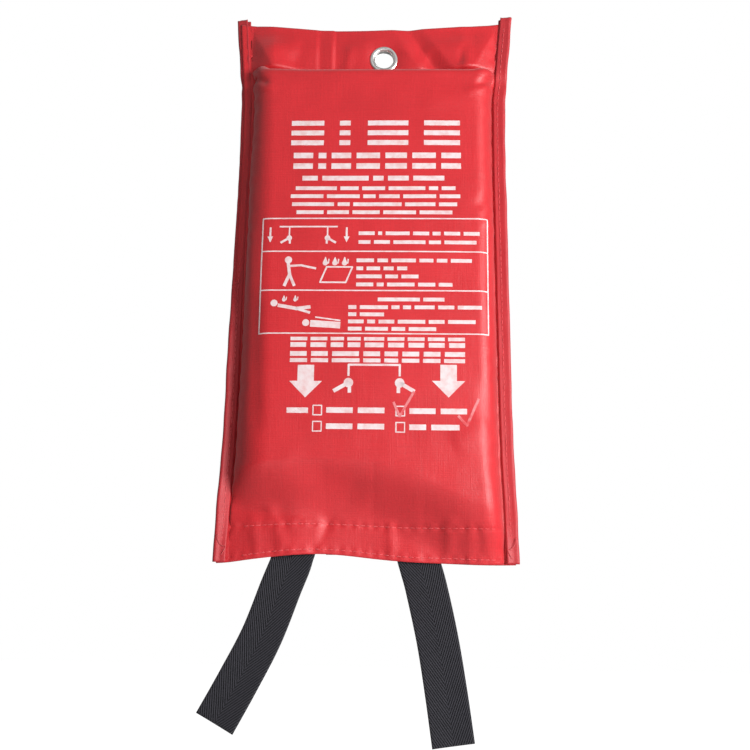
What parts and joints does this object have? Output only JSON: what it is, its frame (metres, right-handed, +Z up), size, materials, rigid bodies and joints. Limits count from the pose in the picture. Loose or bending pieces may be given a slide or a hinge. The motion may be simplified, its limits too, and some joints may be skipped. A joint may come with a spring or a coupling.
{
  "type": "fire blanket in hanging pouch",
  "caption": "Flat red fabric pouch with a hanging eyelet, holding a folded glass-fibre fire blanket that slides out of the bottom mouth when its black pull tapes are drawn.",
  "frame": {"origin": "centre of the hanging eyelet, between the two layers of the header", "axes": "+Z up along the pouch's height as it hangs, front faces -Y, +X to the right seen from the front"},
  "size_m": [0.1907, 0.0242, 0.466],
  "materials": {
    "pouch_fabric": "red PVC-coated woven polyester, satin",
    "binding": "red PVC-coated polyester strip, folded and sewn",
    "pouch_thread": "red polyester sewing thread",
    "nickel": "nickel-plated brass, polished",
    "hook_and_loop": "red nylon hook-and-loop tape",
    "glass_cloth": "woven glass-fibre cloth, off-white",
    "blanket_thread": "white sewing thread",
    "tape": "black polyester herringbone webbing"
  },
  "bodies": {
    "pouch": {"back_panel": "pouch_fabric", "front_panel": "pouch_fabric", "left_side_binding": "binding", "right_side_binding": "binding", "left_seam_thread": "pouch_thread", "right_seam_thread": "pouch_thread", "eyelet": "nickel", "eyelet_washer": "nickel", "back_hem_thread": "pouch_thread", "loop_patch": "hook_and_loop", "front_hem": "pouch_fabric", "upper_hem_thread": "pouch_thread", "lower_hem_thread": "pouch_thread", "hook_patch": "hook_and_loop"},
    "blanket": {"folded_blanket": "glass_cloth", "blanket_hem_thread": "blanket_thread", "left_tape_sewn_end": "tape", "right_tape_sewn_end": "tape", "left_box_stitch": "blanket_thread", "right_box_stitch": "blanket_thread"},
    "left_tape": {"left_pull_tape": "tape"},
    "right_tape": {"right_pull_tape": "tape"}
  },
  "joints": [
    {"name": "blanket_pull", "type": "slide", "parent": "pouch", "child": "blanket", "axis": [0, 0, -1], "range_m": [0, 0.315], "deforming": ["front_hem", "upper_hem_thread", "lower_hem_thread", "hook_patch", "loop_patch"]},
    {"name": "left_tape_swing", "type": "hinge", "parent": "blanket", "child": "left_tape", "pos_m": [-0.0515, -0.0012, -0.333], "axis": [-1, 0, 0], "range_deg": [0, 90]},
    {"name": "right_tape_swing", "type": "hinge", "parent": "blanket", "child": "right_tape", "pos_m": [0.0245, -0.0012, -0.333], "axis": [-1, 0, 0], "range_deg": [0, 90]}
  ]
}
